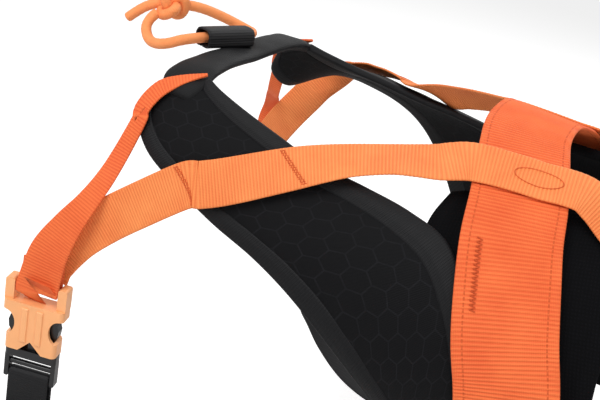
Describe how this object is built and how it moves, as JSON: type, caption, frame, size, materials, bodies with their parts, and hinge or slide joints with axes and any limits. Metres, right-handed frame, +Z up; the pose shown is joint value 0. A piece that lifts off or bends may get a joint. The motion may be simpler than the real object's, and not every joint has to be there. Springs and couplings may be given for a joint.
{
  "type": "dog pulling harness",
  "caption": "Padded dog harness with wide webbing over the withers, flank straps, side-release buckles and a rear tow cord loop.",
  "frame": {"origin": "on the dog's withers, under the middle of the wide band", "axes": "+X towards the dog's head, +Y to its left, +Z up"},
  "size_m": [0.3928, 0.3077, 0.3445],
  "materials": {
    "ripstop": "woven ripstop with fine pale hexagon lines",
    "grosgrain": "ribbed grosgrain tape",
    "padding": "soft padded mesh",
    "orange_webbing": "ribbed polyester webbing",
    "black_webbing": "flat polyester webbing",
    "stretch_fabric": "smooth stretch sleeve",
    "cord": "braided cord",
    "orange_plastic": "moulded acetal, satin gloss",
    "black_plastic": "moulded acetal, satin gloss"
  },
  "bodies": {
    "harness": {"side_panel_right": "ripstop", "side_panel_left": "ripstop", "panel_binding_right": "grosgrain", "panel_binding_left": "grosgrain", "shoulder_pad_right": "padding", "shoulder_pad_left": "padding", "flank_strap_right": "orange_webbing", "flank_strap_left": "orange_webbing", "rear_strip_right": "orange_webbing", "rear_strip_left": "orange_webbing", "buckle_socket_right": "orange_plastic", "buckle_socket_left": "orange_plastic", "buckle_plug_right": "black_plastic", "buckle_plug_left": "black_plastic", "belly_strap_right": "black_webbing", "belly_strap_left": "black_webbing", "withers_band": "orange_webbing", "chest_plate": "ripstop", "rear_yoke": "stretch_fabric", "tow_tunnel": "black_webbing"},
    "tow_loop": {"tow_cord_near": "cord", "tow_cord_far": "cord", "cord_knot": "cord"},
    "latch_rear_right": {"latch_arm_rear_right": "black_plastic"},
    "latch_front_right": {"latch_arm_front_right": "black_plastic"},
    "slider_right": {"webbing_slider_right": "black_plastic"},
    "latch_rear_left": {"latch_arm_rear_left": "black_plastic"},
    "latch_front_left": {"latch_arm_front_left": "black_plastic"},
    "slider_left": {"webbing_slider_left": "black_plastic"}
  },
  "joints": [
    {"name": "tow_loop_swing", "type": "hinge", "parent": "harness", "child": "tow_loop", "pos_m": [-0.211, -0.01, -0.00644], "axis": [0.3584, 0.9336, 0], "range_deg": [-15, 35], "stiffness_Nm_per_rad": 0.1},
    {"name": "press_rear_right", "type": "hinge", "parent": "harness", "child": "latch_rear_right", "pos_m": [-0.25695, -0.13748, -0.2092], "axis": [-0.2419, 0.9703, 0], "range_deg": [0, 6], "stiffness_Nm_per_rad": 0.05},
    {"name": "press_front_right", "type": "hinge", "parent": "harness", "child": "latch_front_right", "pos_m": [-0.23705, -0.13252, -0.2092], "axis": [0.2419, -0.9703, 0], "range_deg": [0, 6], "stiffness_Nm_per_rad": 0.05},
    {"name": "slide_right", "type": "slide", "parent": "harness", "child": "slider_right", "axis": [0, 0, 1], "range_m": [-0.008, 0.008]},
    {"name": "press_rear_left", "type": "hinge", "parent": "harness", "child": "latch_rear_left", "pos_m": [-0.20912, 0.14653, -0.19452], "axis": [0.2419, 0.9703, 0], "range_deg": [0, 6], "stiffness_Nm_per_rad": 0.05},
    {"name": "press_front_left", "type": "hinge", "parent": "harness", "child": "latch_front_left", "pos_m": [-0.19283, 0.14247, -0.18276], "axis": [-0.2419, -0.9703, 0], "range_deg": [0, 6], "stiffness_Nm_per_rad": 0.05},
    {"name": "slide_left", "type": "slide", "parent": "harness", "child": "slider_left", "axis": [-0.5565, 0.1388, 0.8192], "range_m": [-0.001, 0.008]}
  ]
}
